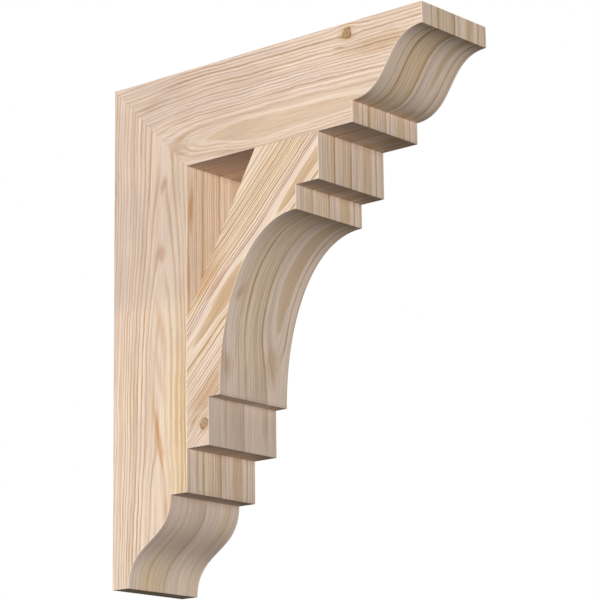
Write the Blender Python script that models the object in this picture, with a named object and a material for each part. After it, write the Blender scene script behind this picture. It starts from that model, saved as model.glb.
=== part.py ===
"""A timber corbel bracket, sawn from square stock.

A post stands against the wall. A beam is mitred to its head and reaches out from the wall, and a
shaped brace fills part of the corner between them. A triangular opening is left inside the corner.

Metres, +Z up. The origin is on the wall, at the middle of the post's back. +X points away from the
wall, and Y runs across the bracket's width. Run it in Blender 4.5:
    blender --background --python part.py
"""

from collections import namedtuple
from math import radians, sqrt

import bpy

INCH = 0.0254

# Size of the whole bracket
WIDTH = 3.5 * INCH
REACH = 14.0 * INCH
HEIGHT = 18.0 * INCH
TOP = HEIGHT / 2

# Square stock that the post and the beam are sawn from
STOCK = 3.5 * INCH

# Shaped ends of the post and of the beam: a blunt tip, an ogee and a square step
TIP = 0.75 * INCH
OGEE_LENGTH = 3.0 * INCH
OGEE_DEPTH = 2.0 * INCH
STEP = STOCK - TIP - OGEE_DEPTH
OGEE_PULL = 0.553 * OGEE_LENGTH

# Brace, with distances out from the wall and down from the top of the bracket
BRACE_OUT = 9.5 * INCH
BRACE_DOWN = 13.5 * INCH
BRACE_SHOULDER = 5.154 * INCH
SHOULDER_STEP = 1.0 * INCH
HOLLOW_TOP = 6.0 * INCH
HEEL_OUT = 4.5 * INCH
HEEL_STEP = 0.5 * INCH
HOLLOW_FOOT = 11.834 * INCH
HOLLOW_PULL_OUT = 0.681
HOLLOW_PULL_DOWN = 0.486

# Straight inner edge of the brace, where it meets the beam and the post
INNER_OUT = 6.70 * INCH
INNER_DOWN = 8.95 * INCH

# Clearance between faces that touch
GAP = 0.0003

# Straight pieces that each curved run is divided into
CURVE_STEPS = 24

# One run of an outline: the point where it ends and, if it is curved, its two handles
Run = namedtuple("Run", "end leave arrive")


def straight(out, down):
    """A straight run to a point that far out from the wall and down from the top."""
    return Run((out, TOP - down), None, None)


def curved(leave, arrive, end):
    """A curved run to the point end, drawn towards the handle leave and then the handle arrive."""
    points = [(out, TOP - down) for out, down in (end, leave, arrive)]
    return Run(*points)


def post_outline():
    """The upright timber: mitred head, ogee foot."""
    foot_step = HEIGHT - OGEE_LENGTH
    ogee_out = STOCK - STEP
    return [
        straight(0, 0),
        straight(STOCK, STOCK),
        straight(STOCK, foot_step),
        straight(ogee_out, foot_step),
        curved(
            leave=(ogee_out, foot_step + OGEE_PULL),
            arrive=(TIP, HEIGHT - OGEE_PULL),
            end=(TIP, HEIGHT),
        ),
        straight(0, HEIGHT),
    ]


def beam_outline():
    """The level timber: the same section as the post, mitred to it, with the same ogee at its nose."""
    nose_step = REACH - OGEE_LENGTH
    ogee_down = STOCK - STEP
    mitre = GAP * sqrt(2)
    return [
        straight(mitre, 0),
        straight(STOCK + mitre, STOCK),
        straight(nose_step, STOCK),
        straight(nose_step, ogee_down),
        curved(
            leave=(nose_step + OGEE_PULL, ogee_down),
            arrive=(REACH - OGEE_PULL, TIP),
            end=(REACH, TIP),
        ),
        straight(REACH, 0),
    ]


def brace_outline():
    """The slanting timber: straight inside, with square steps and a long hollow outside."""
    hollow_out = BRACE_OUT - SHOULDER_STEP
    hollow_in = HEEL_OUT + HEEL_STEP
    pull_out = HOLLOW_PULL_OUT * (hollow_out - hollow_in)
    pull_down = HOLLOW_PULL_DOWN * (HOLLOW_FOOT - HOLLOW_TOP)
    head = STOCK + GAP
    inner_slope = (INNER_DOWN - STOCK) / (INNER_OUT - STOCK)
    return [
        straight(INNER_OUT - GAP / inner_slope, head),
        straight(BRACE_OUT, head),
        straight(BRACE_OUT, BRACE_SHOULDER),
        straight(hollow_out, BRACE_SHOULDER),
        straight(hollow_out, HOLLOW_TOP),
        curved(
            leave=(hollow_out - pull_out, HOLLOW_TOP),
            arrive=(hollow_in, HOLLOW_FOOT - pull_down),
            end=(hollow_in, HOLLOW_FOOT),
        ),
        straight(HEEL_OUT, HOLLOW_FOOT),
        straight(HEEL_OUT, BRACE_DOWN),
        straight(head, BRACE_DOWN),
        straight(head, INNER_DOWN - GAP * inner_slope),
    ]


def wood(name, color, roughness):
    """Bare planed softwood."""
    material = bpy.data.materials.new(name)
    material.use_nodes = True
    shader = material.node_tree.nodes["Principled BSDF"]
    shader.inputs["Base Color"].default_value = (*color, 1.0)
    shader.inputs["Roughness"].default_value = roughness
    shader.inputs["Metallic"].default_value = 0.0
    return material


def board(name, runs, material, bracket, collection):
    """A timber sawn to a flat outline, as thick as the bracket is wide."""
    outline = bpy.data.curves.new(name, "CURVE")
    outline.dimensions = "2D"
    outline.fill_mode = "BOTH"
    outline.extrude = WIDTH / 2
    outline.resolution_u = CURVE_STEPS
    outline.materials.append(material)

    spline = outline.splines.new("BEZIER")
    spline.bezier_points.add(len(runs) - 1)
    spline.use_cyclic_u = True
    for index, run in enumerate(runs):
        following = runs[(index + 1) % len(runs)]
        point = spline.bezier_points[index]
        point.co = (*run.end, 0)
        point.handle_left_type = "FREE" if run.arrive else "VECTOR"
        point.handle_right_type = "FREE" if following.leave else "VECTOR"
        if run.arrive:
            point.handle_left = (*run.arrive, 0)
        if following.leave:
            point.handle_right = (*following.leave, 0)

    timber = bpy.data.objects.new(name, outline)
    timber.rotation_euler = (radians(90), 0, 0)
    timber.parent = bracket
    collection.objects.link(timber)
    return timber


def build():
    """Clears the scene and makes the bracket."""
    for old in list(bpy.data.objects):
        bpy.data.objects.remove(old, do_unlink=True)

    collection = bpy.data.collections.new("corbel_bracket")
    bpy.context.scene.collection.children.link(collection)
    bracket = bpy.data.objects.new("corbel_bracket", None)
    collection.objects.link(bracket)

    post_wood = wood("post_wood", color=(0.74, 0.57, 0.43), roughness=0.62)
    beam_wood = wood("beam_wood", color=(0.72, 0.55, 0.43), roughness=0.62)
    brace_wood = wood("brace_wood", color=(0.73, 0.55, 0.38), roughness=0.60)

    board("post", post_outline(), post_wood, bracket, collection)
    board("beam", beam_outline(), beam_wood, bracket, collection)
    board("brace", brace_outline(), brace_wood, bracket, collection)


build()
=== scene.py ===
import random
from collections import namedtuple
from math import cos, radians, sin

import bmesh
import bpy
from mathutils import Matrix, Vector


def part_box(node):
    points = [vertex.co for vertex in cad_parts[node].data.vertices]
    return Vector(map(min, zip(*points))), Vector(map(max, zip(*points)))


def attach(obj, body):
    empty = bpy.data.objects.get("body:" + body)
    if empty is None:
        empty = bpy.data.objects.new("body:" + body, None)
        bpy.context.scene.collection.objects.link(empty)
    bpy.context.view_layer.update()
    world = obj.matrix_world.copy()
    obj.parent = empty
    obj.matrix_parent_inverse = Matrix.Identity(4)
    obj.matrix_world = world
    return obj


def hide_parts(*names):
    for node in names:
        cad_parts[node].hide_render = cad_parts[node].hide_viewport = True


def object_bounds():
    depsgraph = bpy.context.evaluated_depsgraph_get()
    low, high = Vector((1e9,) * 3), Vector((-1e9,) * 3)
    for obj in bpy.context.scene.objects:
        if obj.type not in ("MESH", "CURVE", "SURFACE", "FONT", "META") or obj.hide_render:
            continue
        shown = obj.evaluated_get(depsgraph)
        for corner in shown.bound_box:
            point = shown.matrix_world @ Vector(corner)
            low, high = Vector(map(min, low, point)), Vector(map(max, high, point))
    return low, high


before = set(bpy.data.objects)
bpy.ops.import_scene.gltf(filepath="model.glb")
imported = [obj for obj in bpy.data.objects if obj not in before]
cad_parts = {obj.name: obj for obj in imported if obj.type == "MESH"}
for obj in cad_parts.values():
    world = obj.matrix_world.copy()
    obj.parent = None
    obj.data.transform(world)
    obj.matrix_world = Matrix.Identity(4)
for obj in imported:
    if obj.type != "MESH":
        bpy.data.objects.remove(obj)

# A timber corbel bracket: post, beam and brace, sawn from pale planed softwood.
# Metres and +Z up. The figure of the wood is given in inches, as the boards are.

INCH = 0.0254

# The CAD box gives the bracket's outer planes
cad_low, cad_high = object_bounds()
WALL, FRONT, BOTTOM = cad_low
NOSE, BACK, TOP = cad_high
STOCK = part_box("post")[1].x - WALL

# Shaped ends of post and beam
TIP = 0.75 * INCH
OGEE_LENGTH = 3.0 * INCH
OGEE_DEPTH = 2.0 * INCH
OGEE_PULL = 0.553 * OGEE_LENGTH
STEP = STOCK - TIP - OGEE_DEPTH

# Brace, out from the wall and down from the top
BRACE_OUT = 9.5 * INCH
BRACE_DOWN = 13.5 * INCH
SHOULDER_DOWN = 5.154 * INCH
HOLLOW_OUT = 8.5 * INCH
HOLLOW_TOP = 6.0 * INCH
HOLLOW_IN = 5.0 * INCH
HOLLOW_FOOT = 11.834 * INCH
HOLLOW_PULL_OUT = 0.681 * (HOLLOW_OUT - HOLLOW_IN)
HOLLOW_PULL_DOWN = 0.486 * (HOLLOW_FOOT - HOLLOW_TOP)
HEEL_OUT = 4.5 * INCH
INNER_OUT = 6.70 * INCH
INNER_DOWN = 8.95 * INCH
GRAIN_ANGLE = radians(46)

# Hairline between boards, and the eased edges of each board
JOINT = 0.00015
ARRIS = 0.0005
ARRIS_STEPS = 3
OGEE_STEPS = 48
HOLLOW_STEPS = 72

# The materials of a board, in the order of its slots
FACE, REAR, EDGE = range(3)


# Outlines

Corner = namedtuple("Corner", "out down joint")


def line(out, down, joint=False):
    """A straight run to a point. joint marks a run that lies against another board."""
    return [Corner(out, down, joint)]


def bend(start, leave, arrive, end, steps):
    """A curved run, as a cubic from start to end drawn towards two handles."""
    run = []
    for index in range(1, steps + 1):
        t = index / steps
        weights = ((1 - t) ** 3, 3 * (1 - t) ** 2 * t, 3 * (1 - t) * t * t, t ** 3)
        spots = (start, leave, arrive, end)
        out = sum(w * p[0] for w, p in zip(weights, spots))
        down = sum(w * p[1] for w, p in zip(weights, spots))
        run.append(Corner(out, down, False))
    return run


def post_outline():
    """Runs from the inner corner down the outer side, round the foot, up the wall and back on the mitre."""
    step_down = TOP - BOTTOM - OGEE_LENGTH
    ogee_out = STOCK - STEP
    foot = TOP - BOTTOM
    return [
        *line(STOCK, STOCK, joint=True),
        *line(STOCK, step_down),
        *line(ogee_out, step_down),
        *bend(
            (ogee_out, step_down),
            (ogee_out, step_down + OGEE_PULL),
            (TIP, foot - OGEE_PULL),
            (TIP, foot),
            OGEE_STEPS,
        ),
        *line(0, foot),
        *line(0, 0),
    ]


def beam_outline():
    """Runs from the top of the nose round the ogee, along the underside, up the mitre and along the top."""
    reach = NOSE - WALL
    step_out = reach - OGEE_LENGTH
    ogee_down = STOCK - STEP
    return [
        *line(reach, 0),
        *line(reach, TIP),
        *bend(
            (reach, TIP),
            (reach - OGEE_PULL, TIP),
            (step_out + OGEE_PULL, ogee_down),
            (step_out, ogee_down),
            OGEE_STEPS,
        ),
        *line(step_out, STOCK),
        *line(STOCK + JOINT, STOCK),
        *line(JOINT, 0, joint=True),
    ]


def brace_outline():
    """Runs from the head down the stepped and hollowed outer side, up the post and along the inner side."""
    head = STOCK + JOINT
    slope = (INNER_DOWN - STOCK) / (INNER_OUT - STOCK)
    return [
        *line(BRACE_OUT, head, joint=True),
        *line(BRACE_OUT, SHOULDER_DOWN),
        *line(HOLLOW_OUT, SHOULDER_DOWN),
        *line(HOLLOW_OUT, HOLLOW_TOP),
        *bend(
            (HOLLOW_OUT, HOLLOW_TOP),
            (HOLLOW_OUT - HOLLOW_PULL_OUT, HOLLOW_TOP),
            (HOLLOW_IN, HOLLOW_FOOT - HOLLOW_PULL_DOWN),
            (HOLLOW_IN, HOLLOW_FOOT),
            HOLLOW_STEPS,
        ),
        *line(HEEL_OUT, HOLLOW_FOOT),
        *line(HEEL_OUT, BRACE_DOWN),
        *line(head, BRACE_DOWN),
        *line(head, INNER_DOWN - JOINT * slope, joint=True),
        *line(INNER_OUT - JOINT / slope, head),
    ]


# Boards

def outline_edges(corners):
    """Each side of the outline as (start, end, distance run so far, joint)."""
    sides = []
    run = 0.0
    for before, corner in zip([corners[-1]] + corners[:-1], corners):
        a = Vector((WALL + before.out, TOP - before.down))
        b = Vector((WALL + corner.out, TOP - corner.down))
        sides.append((a, b, run, corner.joint))
        run += (b - a).length
    return sides


def nearest_side(sides, spot, along):
    """The side of the outline that a narrow face at spot, running in direction along, belongs to."""

    def distance(side):
        a, b = side[0], side[1]
        ab = b - a
        t = min(1.0, max(0.0, (spot - a).dot(ab) / ab.length_squared))
        turned = 1.0 - abs(along.dot(ab.normalized()))
        return (a + ab * t - spot).length + turned * ARRIS

    return min(sides, key=distance)


def board(name, corners, grain, edge_start, materials):
    """A sawn board. grain turns (x, z) into inches along and across the grain, and edge_start is where
    the figure of the narrow faces begins, in inches."""
    bm = bmesh.new()
    verts = [bm.verts.new((WALL + c.out, FRONT, TOP - c.down)) for c in corners]
    cap = bm.faces.new(verts)
    swept = bmesh.ops.extrude_face_region(bm, geom=[cap])
    moved = [v for v in swept["geom"] if isinstance(v, bmesh.types.BMVert)]
    bmesh.ops.translate(bm, verts=moved, vec=(0, BACK - FRONT, 0))
    bmesh.ops.recalc_face_normals(bm, faces=bm.faces)

    sides = outline_edges(corners)
    ease_edges(bm, sides)
    lay_grain(bm, sides, grain, edge_start)

    mesh = bpy.data.meshes.new(name)
    bm.to_mesh(mesh)
    bm.free()
    for material in materials:
        mesh.materials.append(material)
    mesh.shade_smooth()
    mesh.set_sharp_from_angle(angle=radians(40))
    piece = bpy.data.objects.new(name, mesh)
    bpy.context.scene.collection.objects.link(piece)
    weigh = piece.modifiers.new("flat faces stay flat", "WEIGHTED_NORMAL")
    weigh.weight = 100
    weigh.keep_sharp = True
    return piece


def ease_edges(bm, sides):
    """Rounds every sharp edge but those of the faces that lie against another board."""
    joints = [(a, b) for a, b, run, joint in sides if joint]

    def in_joint(vert):
        spot = Vector((vert.co.x, vert.co.z))
        return any(abs((b - a).normalized().cross(spot - a)) < 1e-6 and
                   -1e-6 < (spot - a).dot(b - a) < (b - a).length_squared + 1e-6
                   for a, b in joints)

    sharp = [
        edge for edge in bm.edges
        if edge.calc_face_angle() > radians(20) and not all(in_joint(v) for v in edge.verts)
    ]
    bmesh.ops.bevel(
        bm,
        geom=sharp,
        offset=ARRIS,
        offset_type="OFFSET",
        segments=ARRIS_STEPS,
        profile=0.5,
        affect="EDGES",
        clamp_overlap=True,
    )


def lay_grain(bm, sides, grain, edge_start):
    """Gives each face its wood and its grain coordinates: inches along and across the grain."""
    layer = bm.loops.layers.uv.new("grain")
    broad = 0.9
    for face in bm.faces:
        if abs(face.normal.y) > broad:
            face.material_index = FACE if face.normal.y < 0 else REAR
            for loop in face.loops:
                loop[layer].uv = grain(loop.vert.co.x, loop.vert.co.z)
            continue
        face.material_index = EDGE
        centre = face.calc_center_median()
        along = Vector((-face.normal.z, face.normal.x))
        along = along.normalized() if along.length > 1e-6 else Vector((1, 0))
        a, b, run, joint = nearest_side(sides, Vector((centre.x, centre.z)), along)
        direction = (b - a).normalized()
        for loop in face.loops:
            spot = Vector((loop.vert.co.x, loop.vert.co.z))
            length = run + (spot - a).dot(direction)
            loop[layer].uv = (edge_start + length / INCH, (loop.vert.co.y - FRONT) / INCH)


def upright_grain(x, z):
    """Down from the top, and out from the wall."""
    return (TOP - z) / INCH, (x - WALL) / INCH


def level_grain(x, z):
    """Out from the wall, and down from the top."""
    return (x - WALL) / INCH, (TOP - z) / INCH


def slanting_grain(x, z):
    """Up along the brace from its lowest inner corner, and across it towards the opening."""
    out = (x - WALL - STOCK) / INCH
    up = (z - TOP + BRACE_DOWN) / INCH
    return (
        out * cos(GRAIN_ANGLE) + up * sin(GRAIN_ANGLE),
        up * cos(GRAIN_ANGLE) - out * sin(GRAIN_ANGLE),
    )


# Wood

Ring = namedtuple("Ring", "place width dark")
Figure = namedtuple("Figure", "core core_dark rings tone shade")
Knot = namedtuple("Knot", "along across radius depth")
Stain = namedtuple("Stain", "along across half_length half_width slope strength color")

# Spring wood: rosy white or cream, and a muted pink-grey in places, which is also mixed in as painted shade on the
# downward narrow faces
PINK = (0.935, 0.75, 0.625)
CREAM = (0.92, 0.735, 0.545)
DULL_AND_SHADE = (0.70, 0.55, 0.455)

# Late wood: rosy brown or honey-coloured
ROSY_LINE = (0.48, 0.28, 0.17)
HONEY_LINE = (0.55, 0.325, 0.13)

# Stains filter the colour under them
ROSE = (0.74, 0.59, 0.50)
TAN = (0.82, 0.71, 0.56)
GLOW = (1.0, 0.965, 0.85)
OLIVE = (0.88, 0.83, 0.66)
RUST = (0.82, 0.64, 0.46)
GREY = (0.86, 0.83, 0.82)

KNOT = (0.50, 0.30, 0.165)
KNOT_MARK = (0.70, 0.60, 0.50)
KNOT_RIM = (0.25, 0.14, 0.065)

# Distance over which the late wood of a year gives way to the next spring
YEAR_END = 0.012
RINGS_PER_CURVE = 8

# How much of the late wood's honey hue the spring wood takes
BASE_WARMTH = 0.75


def even_rings(start, end, gap, dark, seed):
    """Narrow rings about one gap apart, none quite like the next."""
    draw = random.Random(seed)
    rings = []
    place = start
    while place < end:
        rings.append(Ring(place, gap * draw.uniform(0.4, 0.7), dark * draw.uniform(0.55, 1.25)))
        place += gap * draw.uniform(0.8, 1.2)
    return rings


def ring_profile(rings):
    """How dark the wood is across some rings. Each year darkens slowly and ends at once."""
    points = [(rings[0].place - rings[0].width, 0.0)]
    for ring in rings:
        free = points[-1][0]
        if ring.place - ring.width > free:
            points.append((ring.place - ring.width, 0.0))
            free = ring.place - ring.width
        points.append((max(ring.place - 0.5 * ring.width, free + 0.5 * YEAR_END), 0.75 * ring.dark))
        points.append((ring.place - YEAR_END, ring.dark))
        points.append((ring.place + YEAR_END, 0.0))
    return points


class Graph:
    """Adds the nodes of one material and joins them up."""

    def __init__(self, material):
        self.nodes = material.node_tree.nodes
        self.links = material.node_tree.links

    def add(self, kind, **settings):
        node = self.nodes.new(kind)
        for key, value in settings.items():
            setattr(node, key, value)
        return node

    def join(self, value, socket):
        if isinstance(value, bpy.types.NodeSocket):
            self.links.new(value, socket)
        else:
            socket.default_value = value

    def math(self, operation, *values, clamp=False):
        node = self.add("ShaderNodeMath", operation=operation, use_clamp=clamp)
        for value, socket in zip(values, node.inputs):
            self.join(value, socket)
        return node.outputs[0]

    def product(self, *values):
        result = values[0]
        for value in values[1:]:
            result = self.math("MULTIPLY", result, value)
        return result

    def ramp(self, value, low, high, to_low=0.0, to_high=1.0, smooth=True):
        """value from low..high to to_low..to_high, held at the ends."""
        node = self.add("ShaderNodeMapRange")
        node.interpolation_type = "SMOOTHSTEP" if smooth else "LINEAR"
        node.clamp = True
        for item, socket in zip((value, low, high, to_low, to_high), node.inputs):
            self.join(item, socket)
        return node.outputs[0]

    def noise(self, along, across, layer, along_rate, across_rate, detail=2.0, roughness=0.5):
        """Noise of about 0..1 whose grains are 1 / rate inches long and wide."""
        spot = self.add("ShaderNodeCombineXYZ")
        self.join(self.math("MULTIPLY", along, along_rate), spot.inputs[0])
        self.join(self.math("MULTIPLY", across, across_rate), spot.inputs[1])
        self.join(layer, spot.inputs[2])
        node = self.add("ShaderNodeTexNoise", noise_dimensions="3D")
        self.links.new(spot.outputs[0], node.inputs["Vector"])
        node.inputs["Scale"].default_value = 1.0
        node.inputs["Detail"].default_value = detail
        node.inputs["Roughness"].default_value = roughness
        return node.outputs["Fac"]

    def sway(self, amount, *place, **settings):
        """Noise that runs either side of nought, by up to about half of amount."""
        return self.math("MULTIPLY", self.math("SUBTRACT", self.noise(*place, **settings), 0.5), amount)

    def curve(self, value, points, smooth=True):
        """Reads the curve through points, given as (place, height), at value."""
        places = [p[0] for p in points]
        heights = [p[1] for p in points]
        low, high = min(heights), max(heights)
        span = (high - low) or 1.0
        node = self.add("ShaderNodeFloatCurve")
        track = node.mapping.curves[0]
        while len(track.points) < len(points):
            track.points.new(0.5, 0.5)
        for index, (place, height) in enumerate(points):
            spot = (place - places[0]) / (places[-1] - places[0])
            track.points[index].location = (spot, (height - low) / span)
            track.points[index].handle_type = "AUTO_CLAMPED" if smooth else "VECTOR"
        node.mapping.update()
        at = self.ramp(value, places[0], places[-1], smooth=False)
        self.links.new(at, node.inputs["Value"])
        return self.math("MULTIPLY_ADD", node.outputs[0], span, low)

    def mix(self, share, first, second, blend="MIX"):
        node = self.add("ShaderNodeMix", data_type="RGBA", blend_type=blend)
        self.join(share, node.inputs["Factor"])
        for value, key in ((first, "A"), (second, "B")):
            socket = next(s for s in node.inputs if s.name == key and s.type == "RGBA")
            self.join((*value, 1.0) if isinstance(value, tuple) else value, socket)
        return next(s for s in node.outputs if s.type == "RGBA")

    def oval(self, along, across, center, half_length, half_width, slope=0.0):
        """Distance from an oval's centre, 1 on its rim. slope tilts it across the grain."""
        du = self.math("SUBTRACT", along, center[0])
        dv = self.math("SUBTRACT", across, center[1])
        if slope:
            dv = self.math("MULTIPLY_ADD", du, -slope, dv)
        du = self.math("DIVIDE", du, half_length)
        dv = self.math("DIVIDE", dv, half_width)
        squares = self.math("ADD", self.math("MULTIPLY", du, du), self.math("MULTIPLY", dv, dv))
        return self.math("SQRT", squares)


def ring_darkness(graph, place, rings):
    """The darkness of all the rings. A curve node holds 256 steps, so each takes only a few rings."""
    total = 0.0
    for first in range(0, len(rings), RINGS_PER_CURVE):
        some = ring_profile(rings[first:first + RINGS_PER_CURVE])
        total = graph.math("ADD", total, graph.curve(place, some, smooth=False))
    return total


def bend_grain(graph, along, across, seed, drift, knots):
    """The grain drifts, wavers, and parts a little round each knot."""
    bent = graph.math("ADD", across, graph.sway(0.26 * drift, along, across, seed, 0.2, 0.45, detail=1.0))
    bent = graph.math("ADD", bent, graph.sway(0.11 * drift, along, across, seed + 7.3, 0.9, 1.7))
    bent = graph.math("ADD", bent, graph.sway(0.035, along, across, seed + 9.1, 3.0, 7.0))
    for knot in knots:
        away = graph.oval(along, across, (knot.along, knot.across), 2.6 * knot.radius, 1.5 * knot.radius)
        pull = graph.math("EXPONENT", graph.product(away, away, -1.0))
        off = graph.math("SUBTRACT", across, knot.across)
        bent = graph.math("SUBTRACT", bent, graph.product(off, pull, 0.8))
    return bent


def knot_color(graph, color, along, across, seed, knot):
    """A branch cut through: ragged darker rim, a dot at its heart and a resinous halo."""
    away = graph.oval(along, across, (knot.along, knot.across), knot.radius, 0.93 * knot.radius)
    away = graph.math("ADD", away, graph.sway(0.75, along, across, seed + 3.1, 4.0, 4.0, detail=3.0))
    broken = graph.ramp(graph.noise(along, across, seed + 4.7, 7.0, 7.0), 0.4, 0.6, 0.2, 1.0)
    halo = graph.ramp(away, 0.9, 2.4, 0.8, 0.0)
    inside = graph.ramp(away, 0.85, 1.1, 0.9, 0.0)
    rim = graph.product(graph.ramp(away, 0.62, 0.92), graph.ramp(away, 0.98, 1.25, 1.0, 0.0), broken)
    heart = graph.ramp(away, 0.05, 0.28, 0.85, 0.0)
    rings = graph.ramp(graph.math("SINE", graph.math("MULTIPLY", away, 19.0)), -1.0, 1.0, 0.0, 0.3)
    color = graph.mix(graph.math("MULTIPLY", halo, knot.depth), color, OLIVE, blend="MULTIPLY")
    color = graph.mix(graph.math("MULTIPLY", inside, knot.depth), color, KNOT)
    dark = graph.math("MAXIMUM", rim, graph.math("MAXIMUM", heart, graph.math("MULTIPLY", rings, inside)))
    return graph.mix(graph.math("MULTIPLY", dark, knot.depth), color, KNOT_RIM)


def wood(name, seed, figure, pith, depth, dull_and_shading, warm, crisp, drift=1.0, apex=0.4, knots=(), stains=()):
    """Softwood cut lengthways. pith is where the log's centre line runs across the face, and depth how
    far below the face it lies. dull, warm and crisp give the tone of the wood and the strength of its
    lines. On the narrow faces dull also darkens the downward faces as painted shade, and makes the post's
    side in the opening paler as painted light. All five are curves along the board, as (inches along,
    value). drift is how much the grain wanders, and apex how far from the middle of an arch its lines
    are still faint."""
    material = bpy.data.materials.new(name)
    material.use_nodes = True
    graph = Graph(material)
    shader = graph.nodes["Principled BSDF"]

    grain = graph.add("ShaderNodeUVMap", uv_map="grain")
    split = graph.add("ShaderNodeSeparateXYZ")
    graph.links.new(grain.outputs[0], split.inputs[0])
    along, across = split.outputs[0], split.outputs[1]
    bent = bend_grain(graph, along, across, seed, drift, knots)

    # Distance from the pith, below nought on the near side of it
    off = graph.math("SUBTRACT", bent, graph.curve(along, pith))
    below = graph.curve(along, depth)
    radius = graph.math("SQRT", graph.math("ADD", graph.product(off, off), graph.product(below, below)))
    place = graph.math("MULTIPLY", radius, graph.math("SIGN", off))

    # Late wood: rings that come and go along the board, and fade where the cut runs along them
    steep = graph.math("DIVIDE", graph.math("ABSOLUTE", off), radius)
    shallow = graph.ramp(steep, 0.1 * apex, apex, 0.2, 1.0)
    fade = graph.ramp(graph.noise(along, place, seed + 5.9, 0.4, 6.0), 0.3, 0.7, 0.62, 1.15)
    fine = graph.ramp(graph.noise(along, place, seed + 43.7, 0.11, 10.0, detail=1.0), 0.47, 0.7, 0.0, 0.4)
    rings = graph.math("MULTIPLY", ring_darkness(graph, place, figure.rings), fade)
    rings = graph.product(graph.math("MAXIMUM", rings, fine), shallow, graph.curve(along, crisp))
    core = graph.ramp(radius, figure.core - YEAR_END, figure.core + YEAR_END, figure.core_dark, 0.0)
    core = graph.math("MULTIPLY", core, graph.ramp(graph.noise(along, bent, seed + 47.1, 0.5, 3.0), 0.3, 0.7, 0.8, 1.15))
    late = graph.math("MAXIMUM", rings, core, clamp=True)

    # Tone: years of rosy or honey-coloured wood, and broad grey-pink zones. On the narrow faces the grey-pink
    #     # is also painted shade under the steps, and where it is lessened, painted light on the post's side in the
    #     opening
    warmth = graph.math("ADD", graph.curve(place, figure.tone), graph.curve(along, warm))
    warmth = graph.math("ADD", warmth, graph.sway(0.9, along, place, seed + 23.7, 0.13, 2.6))
    warmth = graph.math("ADD", warmth, graph.sway(0.9, along, place, seed + 61.7, 0.2, 9.0), clamp=True)
    dull_and_shade_share = graph.math("ADD", graph.curve(along, dull_and_shading), graph.curve(place, figure.shade))
    dull_and_shade_share = graph.math("ADD", dull_and_shade_share, graph.sway(0.8, along, bent, seed + 19.1, 0.35, 0.8), clamp=True)
    color = graph.mix(graph.math("MULTIPLY", warmth, BASE_WARMTH), PINK, CREAM)
    # Grey-pink mixed in: greyer wood, painted shade on the downward narrow faces, and painted light where less is mixed
    # in on the post's side in the opening
    color = graph.mix(dull_and_shade_share, color, DULL_AND_SHADE)
    color = graph.mix(late, color, graph.mix(warmth, ROSY_LINE, HONEY_LINE))

    for stain in stains:
        center = (stain.along, stain.across)
        away = graph.oval(along, bent, center, stain.half_length, stain.half_width, stain.slope)
        away = graph.math("ADD", away, graph.sway(1.1, along, bent, seed + 29.3, 1.6, 9.0))
        share = graph.ramp(away, 0.2, 1.25, stain.strength, 0.0)
        color = graph.mix(share, color, stain.color, blend="MULTIPLY")
    for knot in knots:
        color = knot_color(graph, color, along, across, seed, knot)

    # Fine fibres and short dark resin canals
    fibre = graph.noise(along, across, seed + 31.3, 1.6, 55.0, detail=3.0, roughness=0.6)
    streak = graph.noise(along, bent, seed + 37.9, 0.45, 14.0)
    hair = graph.noise(along, across, seed + 53.3, 0.9, 26.0)
    canal = graph.noise(along, across, seed + 41.3, 4.5, 95.0, detail=0.0)
    light = graph.product(
        graph.ramp(fibre, 0.25, 0.75, 0.96, 1.04),
        graph.ramp(streak, 0.25, 0.75, 0.94, 1.06),
        graph.ramp(hair, 0.25, 0.75, 0.95, 1.05),
        graph.ramp(canal, 0.70, 0.80, 1.0, 0.84),
    )
    tint = graph.add("ShaderNodeCombineXYZ")
    for socket in tint.inputs:
        graph.links.new(light, socket)
    color = graph.mix(1.0, color, tint.outputs[0], blend="MULTIPLY")
    graph.links.new(color, shader.inputs["Base Color"])

    # Sanded sheen: late wood is a little smoother and stands a little proud
    graph.links.new(graph.ramp(late, 0.0, 0.7, 0.64, 0.5), shader.inputs["Roughness"])
    bump = graph.add("ShaderNodeBump")
    bump.inputs["Strength"].default_value = 0.35
    bump.inputs["Distance"].default_value = 0.00012
    graph.links.new(graph.math("MULTIPLY_ADD", fibre, 0.5, late), bump.inputs["Height"])
    graph.links.new(bump.outputs[0], shader.inputs["Normal"])
    shader.inputs["Specular IOR Level"].default_value = 0.3
    return material


POST_FIGURE = Figure(
    core=0.2,
    core_dark=0.15,
    rings=[
        *even_rings(-2.7, -1.9, 0.125, 0.85, seed=1),
        Ring(-1.79, 0.07, 0.7),
        Ring(-1.67, 0.07, 0.85),
        Ring(-1.56, 0.06, 0.8),
        Ring(-1.42, 0.07, 0.85),
        Ring(-1.28, 0.07, 0.9),
        Ring(-1.13, 0.08, 1.0),
        Ring(-0.96, 0.07, 1.0),
        Ring(-0.80, 0.07, 0.85),
        Ring(-0.65, 0.04, 0.35),
        Ring(-0.46, 0.08, 0.7),
        Ring(0.46, 0.06, 0.5),
        Ring(0.75, 0.07, 0.6),
        Ring(0.97, 0.08, 0.8),
        Ring(1.14, 0.09, 0.8),
        Ring(1.29, 0.09, 0.75),
        *even_rings(1.44, 2.2, 0.13, 0.6, seed=5),
    ],
    tone=[(-2.7, 0.2), (-1.3, 0.4), (-0.4, 0.5), (0.4, 0.5), (0.8, 0.8), (2.2, 0.9)],
    shade=[(-2.7, 0.0), (2.2, 0.0)],
)
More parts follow.
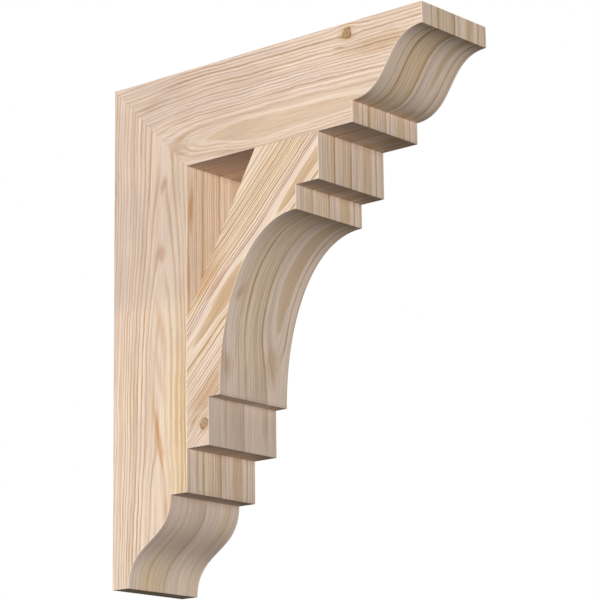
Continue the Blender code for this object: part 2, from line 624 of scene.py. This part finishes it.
BEAM_FIGURE = Figure(
    core=0.36,
    core_dark=0.36,
    rings=[
        *even_rings(-3.0, -2.0, 0.135, 0.85, seed=2),
        Ring(-1.92, 0.12, 0.8),
        *even_rings(-1.79, -0.9, 0.11, 0.85, seed=6),
        Ring(-0.80, 0.07, 0.7),
        Ring(-0.58, 0.14, 0.8),
        Ring(0.46, 0.05, 0.5),
        Ring(0.55, 0.05, 0.6),
        Ring(0.66, 0.07, 0.6),
        Ring(0.76, 0.05, 0.5),
        Ring(1.0, 0.06, 0.5),
    ],
    tone=[(-3.0, 0.15), (-1.9, 0.3), (-1.3, 0.15), (-0.9, 0.2), (-0.6, 0.45), (-0.36, 0.65), (0.36, 0.65), (1.0, 0.3)],
    shade=[(-3.0, 0.0), (1.0, 0.0)],
)
BRACE_FIGURE = Figure(
    core=0.29,
    core_dark=0.6,
    rings=[
        *even_rings(-3.0, -0.8, 0.1, 0.9, seed=3),
        Ring(-0.68, 0.08, 1.0),
        Ring(-0.46, 0.13, 1.0),
        Ring(0.45, 0.03, 0.4),
        Ring(0.53, 0.045, 1.3),
        Ring(0.61, 0.04, 1.3),
        Ring(0.70, 0.04, 1.2),
        Ring(0.84, 0.07, 1.1),
        Ring(0.94, 0.05, 0.9),
        Ring(1.03, 0.06, 1.1),
        Ring(1.13, 0.05, 0.9),
        Ring(1.20, 0.05, 1.0),
        Ring(1.30, 0.07, 1.1),
        Ring(1.39, 0.05, 0.9),
        Ring(1.49, 0.08, 1.2),
        Ring(1.60, 0.05, 0.8),
        Ring(1.73, 0.10, 1.2),
        Ring(1.86, 0.06, 0.9),
        Ring(2.00, 0.07, 0.9),
        Ring(2.20, 0.07, 0.9),
    ],
    tone=[(-3.0, 0.1), (-1.4, 0.3), (-0.7, 0.5), (-0.4, 0.85), (0.29, 0.9), (0.45, 0.05), (0.72, 0.05), (0.85, 0.9),
          (2.3, 1.0)],
    shade=[(-3.0, 0.0), (2.3, 0.0)],
)
EDGE_FIGURE = Figure(
    core=0.28,
    core_dark=0.42,
    rings=[
        Ring(-2.30, 0.03, 0.3),
        Ring(-2.05, 0.07, 0.8),
        Ring(-1.70, 0.13, 1.0),
        Ring(-1.47, 0.05, 0.6),
        Ring(-1.36, 0.05, 0.55),
        Ring(-1.25, 0.06, 0.75),
        Ring(-1.12, 0.06, 0.65),
        Ring(-0.99, 0.06, 0.7),
        Ring(-0.83, 0.13, 0.95),
        Ring(-0.60, 0.07, 0.65),
        Ring(-0.50, 0.04, 0.4),
        Ring(0.53, 0.09, 0.85),
        Ring(0.68, 0.03, 0.45),
        Ring(0.80, 0.06, 0.7),
    ],
    tone=[(-2.6, 0.2), (-2.2, 0.3), (-2.05, 0.8), (-1.7, 1.0), (-0.85, 1.1), (-0.78, 0.1), (-0.35, 0.2), (-0.28, 1.0),
          (0.28, 1.0), (0.36, 0.3), (0.8, 0.4)],
    shade=[(-2.6, 0.0), (-1.9, 0.05), (-1.2, 0.25), (-0.85, 0.4), (-0.81, -0.25), (-0.35, -0.15), (-0.25, 0.0), (0.8, 0.0)],
)


def post_woods():
    return [
        wood(
            "post_face",
            seed=1.0,
            figure=POST_FIGURE,
            pith=[(0, 2.36), (4, 2.36), (7, 2.3), (10, 2.26), (15, 2.175), (18, 2.1)],
            depth=[(0, 1.12), (2.1, 1.01), (3.8, 0.956), (5.2, 0.87), (6.3, 0.80), (8.5, 0.62), (10, 0.53),
                   (12, 0.5), (13.4, 0.46), (14.8, 0.31), (18, 0.3)],
            dull_and_shading=[(0, 0.25), (3, 0.45), (4.5, 0.7), (7.4, 0.75), (8.7, 0.15), (12, 0.05), (18, 0.1)],
            warm=[(0, 0.1), (4, 0.0), (7.5, 0.0), (9, 0.15), (18, 0.15)],
            crisp=[(0, 0.85), (3.5, 0.85), (5.5, 0.75), (8, 0.8), (9, 0.95), (18, 1.0)],
            stains=[
                Stain(13.5, 3.15, 5.0, 0.75, 0.0, 1.0, GLOW),
                Stain(3.95, 2.44, 0.36, 0.17, -0.3, 0.8, ROSE),
                Stain(6.45, 2.3, 0.36, 0.26, 0.0, 0.75, ROSE),
                Stain(8.9, 2.22, 1.0, 0.2, 0.12, 0.6, RUST),
                Stain(10.8, 2.22, 0.9, 0.18, 0.15, 0.6, TAN),
                Stain(13.0, 2.22, 1.2, 0.13, 0.19, 1.0, RUST),
                Stain(12.3, 2.05, 1.4, 0.25, 0.15, 0.6, TAN),
                Stain(15.6, 2.53, 0.7, 0.07, 0.0, 0.8, RUST),
            ],
        ),
        wood(
            "post_rear",
            seed=51.0,
            figure=BEAM_FIGURE,
            pith=[(0, 2.2), (9, 2.5), (18, 2.3)],
            depth=[(0, 0.5), (6, 0.9), (12, 0.6), (18, 1.1)],
            dull_and_shading=[(0, 0.2), (9, 0.5), (18, 0.2)],
            warm=[(0, 0.1), (18, 0.2)],
            crisp=[(0, 0.8), (18, 0.9)],
        ),
        wood(
            "post_edge",
            seed=61.0,
            figure=EDGE_FIGURE,
            pith=[(-1, 2.58), (16, 2.58), (18, 2.6), (45, 2.6)],
            depth=[(-1, 0.2), (4, 0.15), (14.4, 0.1), (16, 0.12), (16.4, 0.3), (45, 0.3)],
            # Greyer on the step's underside above the foot's ogee: painted shade. Paler, and yellower through warm,
            # along the post's outer side inside the opening: painted light
            dull_and_shading=[(-1, -0.3), (10, -0.3), (14.4, -0.1), (15.8, 0.1), (16.0, 0.8), (16.6, 0.9), (16.9, 0.5), (18.8, 0.3),
                  (20.3, 0.0), (45, 0.2)],
            warm=[(-1, 0.8), (10, 0.8), (14, 0.1), (16.4, 0.0), (20, 0.0), (45, 0.0)],
            crisp=[(-1, 1.0), (15.9, 1.0), (16.5, 0.5), (20, 0.5), (20.6, 0.6), (45, 0.8)],
            drift=0.4,
            stains=[
                Stain(5.9, 0.24, 1.0, 0.16, -0.03, 1.0, RUST),
                Stain(8.3, 0.1, 1.6, 0.1, 0.0, 0.8, RUST),
                Stain(17.7, 2.85, 1.3, 0.22, 0.0, 0.7, OLIVE),
                Stain(20.2, 1.0, 0.9, 0.75, 0.0, 1.0, GLOW),
            ],
        ),
    ]


def beam_woods():
    return [
        wood(
            "beam_face",
            seed=2.0,
            figure=BEAM_FIGURE,
            pith=[(0, 2.7), (5, 2.73), (7, 2.75), (10, 2.76), (14, 2.75)],
            depth=[(0, 1.15), (2.9, 0.64), (4.33, 0.37), (5, 0.326), (6, 0.17), (7, 0.05), (8, 0.17), (9, 0.22),
                   (11, 0.3), (14, 0.45)],
            dull_and_shading=[(0, 0.25), (2, 0.5), (5, 0.45), (8, 0.15), (14, 0.0)],
            warm=[(0, 0.1), (6, 0.0), (10, 0.1), (14, 0.25)],
            crisp=[(0, 0.7), (2.6, 0.7), (3.5, 0.95), (14, 0.9)],
            knots=[Knot(10.83, 0.38, 0.2, 1.0)],
            stains=[
                Stain(12.2, 1.0, 2.0, 0.42, 0.0, 0.7, TAN),
                Stain(3.1, 2.75, 0.7, 0.3, 0.0, 0.6, TAN),
                Stain(1.9, 0.95, 0.9, 0.3, -0.1, 0.8, GREY),
                Stain(2.9, 0.5, 0.7, 0.25, -0.1, 0.6, GREY),
                Stain(10.5, 0.77, 0.3, 0.08, 0.05, 0.9, KNOT_MARK),
            ],
        ),
        wood(
            "beam_rear",
            seed=52.0,
            figure=POST_FIGURE,
            pith=[(0, 2.2), (7, 2.0), (14, 2.3)],
            depth=[(0, 0.6), (4, 0.9), (9, 0.5), (14, 0.9)],
            dull_and_shading=[(0, 0.3), (14, 0.2)],
            warm=[(0, 0.1), (14, 0.2)],
            crisp=[(0, 0.8), (14, 0.9)],
        ),
        wood(
            "beam_edge",
            seed=62.0,
            figure=EDGE_FIGURE,
            pith=[(0, 2.6), (40, 2.6)],
            depth=[(0, 0.19), (1.5, 0.24), (3, 0.28), (3.5, 0.3), (3.9, 0.28), (5.5, 0.17), (12, 0.12), (40, 0.25)],
            # Greyer along the beam's underside, most of all where it roofs the opening: painted shade. Paler over the
            # ogee
            dull_and_shading=[(0, 0.1), (0.8, 0.0), (1.2, -0.3), (3.8, -0.3), (4.5, 0.0), (5.2, 0.1), (5.4, 0.6), (9.3, 0.6),
                  (9.6, 1.0), (12.8, 1.0), (14, 0.3), (40, 0.3)],
            warm=[(0, 0.3), (4.5, 0.2), (9, 0.4), (13, 0.4), (40, 0.0)],
            crisp=[(0, 1.0), (40, 0.8)],
            drift=0.4,
            stains=[
                Stain(4.6, 0.24, 0.9, 0.15, 0.08, 0.6, RUST),
                Stain(2.4, 1.5, 1.8, 0.55, 0.0, 0.9, GLOW),
            ],
        ),
    ]


def brace_woods():
    return [
        wood(
            "brace_face",
            seed=3.0,
            figure=BRACE_FIGURE,
            pith=[(-1, 2.15), (3, 2.2), (5, 2.23), (8, 2.18), (12, 2.1)],
            depth=[(-1, 0.6), (2.7, 0.29), (3.3, 0.26), (4.1, 0.2), (4.9, 0.05), (5.8, 0.15), (6.6, 0.29), (7.4, 0.33),
                   (8.3, 0.29), (9.2, 0.23), (10.2, 0.2), (12, 0.25)],
            dull_and_shading=[(-1, 0.3), (1.5, 0.3), (3, 0.05), (12, -0.1)],
            warm=[(-1, 0.4), (1.5, 0.3), (4, 0.1), (12, 0.1)],
            crisp=[(-1, 0.6), (1, 0.7), (2.2, 1.0), (12, 1.0)],
            drift=0.6,
            knots=[Knot(1.12, -0.06, 0.19, 0.85)],
            stains=[
                Stain(4.95, 2.8, 0.9, 0.11, 0.0, 0.7, ROSE),
                Stain(4.9, 3.3, 1.3, 0.35, 0.0, 0.6, RUST),
                Stain(1.9, 0.55, 1.6, 0.45, 0.0, 0.8, TAN),
                Stain(0.9, 0.37, 0.3, 0.08, 0.0, 0.9, KNOT_MARK),
            ],
        ),
        wood(
            "brace_rear",
            seed=53.0,
            figure=BRACE_FIGURE,
            pith=[(-1, 1.6), (5, 1.9), (12, 1.6)],
            depth=[(-1, 0.5), (4, 0.9), (8, 0.5), (12, 0.8)],
            dull_and_shading=[(-1, 0.1), (12, 0.1)],
            warm=[(-1, 0.1), (12, 0.1)],
            crisp=[(-1, 0.9), (12, 0.9)],
        ),
        wood(
            "brace_edge",
            seed=63.0,
            figure=EDGE_FIGURE,
            pith=[(6, 2.6), (10, 2.6), (13, 2.62), (14.4, 2.67), (15.3, 2.74), (16.3, 2.86), (17.1, 2.95), (17.8, 2.97),
                  (18.3, 2.6), (35, 2.6)],
            depth=[(6, 0.15), (10, 0.14), (13, 0.03), (14.4, 0.2), (15.3, 0.28), (16.3, 0.5), (17.1, 0.6),
                   (17.8, 0.64), (18.3, 0.3), (35, 0.3)],
            # Greyer under the shoulder, under the foot of the hollow and under the brace's lowest face: painted shade.
            # Paler over the upper hollow
            dull_and_shading=[(6, 0.1), (8.4, 0.1), (8.55, 0.6), (9.4, 0.6), (9.5, 0.0), (10.3, -0.3), (13.5, -0.2), (17.7, 0.3), (17.9, 1.0), (18.3, 1.0), (18.5, 0.5), (19.9, 0.5),
                  (20.1, 1.0), (21, 1.0), (35, 0.3)],
            warm=[(6, 0.2), (10, 0.1), (17, 0.1), (20, 0.0), (35, 0.0)],
            crisp=[(6, 1.0), (17, 0.8), (18, 0.45), (20, 0.45), (21, 0.8), (35, 0.8)],
            drift=0.4,
            apex=0.7,
            stains=[
                Stain(14.2, 0.4, 0.4, 0.2, -0.3, 0.6, ROSE),
                Stain(16.7, 0.35, 0.5, 0.25, 0.2, 0.6, ROSE),
                Stain(16.5, 2.62, 0.9, 0.42, 0.0, 0.6, TAN),
                Stain(18.9, 2.9, 0.6, 0.16, 0.0, 0.6, TAN),
            ],
        ),
    ]


def make_boards():
    """The three boards, each in the place of its CAD node."""
    plans = {
        "post": (post_outline(), upright_grain, -0.5, post_woods()),
        "beam": (beam_outline(), level_grain, -14.0, beam_woods()),
        "brace": (brace_outline(), slanting_grain, 4.0, brace_woods()),
    }
    for node, (corners, grain, edge_start, woods) in plans.items():
        piece = board(f"{node}_timber", corners, grain, edge_start, woods)
        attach(piece, "root")
        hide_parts(node)


# Camera, at the photograph's angle

LENS = 157.134
YAW, PITCH, ROLL = radians(40.4495), radians(13.6907), radians(-0.7038)
CAMERA_OUT = 63.2668 * INCH
CAMERA_AHEAD = 65.833 * INCH
CAMERA_BELOW_TOP = 29.6816 * INCH


def make_camera():
    ahead = Vector((-sin(YAW) * cos(PITCH), cos(YAW) * cos(PITCH), sin(PITCH)))
    level = Vector((cos(YAW), sin(YAW), 0))
    upright = level.cross(ahead)
    right = cos(ROLL) * level + sin(ROLL) * upright
    up = cos(ROLL) * upright - sin(ROLL) * level
    data = bpy.data.cameras.new("camera")
    data.lens = LENS
    camera = bpy.data.objects.new("camera", data)
    place = Matrix((right, up, -ahead)).transposed().to_4x4()
    middle = (FRONT + BACK) / 2
    place.translation = (WALL + CAMERA_OUT, middle - CAMERA_AHEAD, TOP - CAMERA_BELOW_TOP)
    camera.matrix_world = place
    bpy.context.scene.collection.objects.link(camera)
    bpy.context.scene.camera = camera


# Studio: a pale floor and soft lights

FLOOR_DOWN = 0.85
FLOOR_SIZE = 24.0


def make_floor():
    bpy.ops.mesh.primitive_plane_add(size=FLOOR_SIZE, location=(0, 0, -FLOOR_DOWN))
    floor = bpy.context.object
    floor.name = "floor"
    material = bpy.data.materials.new("floor")
    material.use_nodes = True
    shader = material.node_tree.nodes["Principled BSDF"]
    shader.inputs["Base Color"].default_value = (0.86, 0.86, 0.86, 1)
    shader.inputs["Roughness"].default_value = 0.9
    floor.data.materials.append(material)
    floor.visible_diffuse = False
    floor.visible_glossy = False
    floor.visible_shadow = False


def sun(name, towards, strength, spread):
    """A soft far light. towards points from the bracket to the light."""
    data = bpy.data.lights.new(name, "SUN")
    data.energy = strength
    data.angle = radians(spread)
    light = bpy.data.objects.new(name, data)
    light.rotation_mode = "QUATERNION"
    light.rotation_quaternion = Vector(towards).to_track_quat("Z", "Y")
    bpy.context.scene.collection.objects.link(light)


def make_lights():
    sun("key", (0.59, -1.0, -0.07), 3.45, 20)
    sun("overhead", (0, 0, 1), 2.2, 12)
    sun("behind", (-0.7, 0.7, 0.4), 2.0, 20)

    world = bpy.data.worlds.new("studio")
    bpy.context.scene.world = world
    world.use_nodes = True
    nodes, links = world.node_tree.nodes, world.node_tree.links
    glow = nodes["Background"]
    glow.inputs["Color"].default_value = (1, 1, 1, 1)
    seen = nodes.new("ShaderNodeBackground")
    seen.inputs["Strength"].default_value = 1.0
    glow.inputs["Strength"].default_value = 0.02
    path = nodes.new("ShaderNodeLightPath")
    choose = nodes.new("ShaderNodeMixShader")
    links.new(path.outputs["Is Camera Ray"], choose.inputs[0])
    links.new(glow.outputs[0], choose.inputs[1])
    links.new(seen.outputs[0], choose.inputs[2])
    links.new(choose.outputs[0], nodes["World Output"].inputs["Surface"])
    seen.inputs["Color"].default_value = (1, 1, 1, 1)


bpy.context.scene.view_settings.view_transform = "Standard"
make_camera()
make_floor()
make_lights()
make_boards()
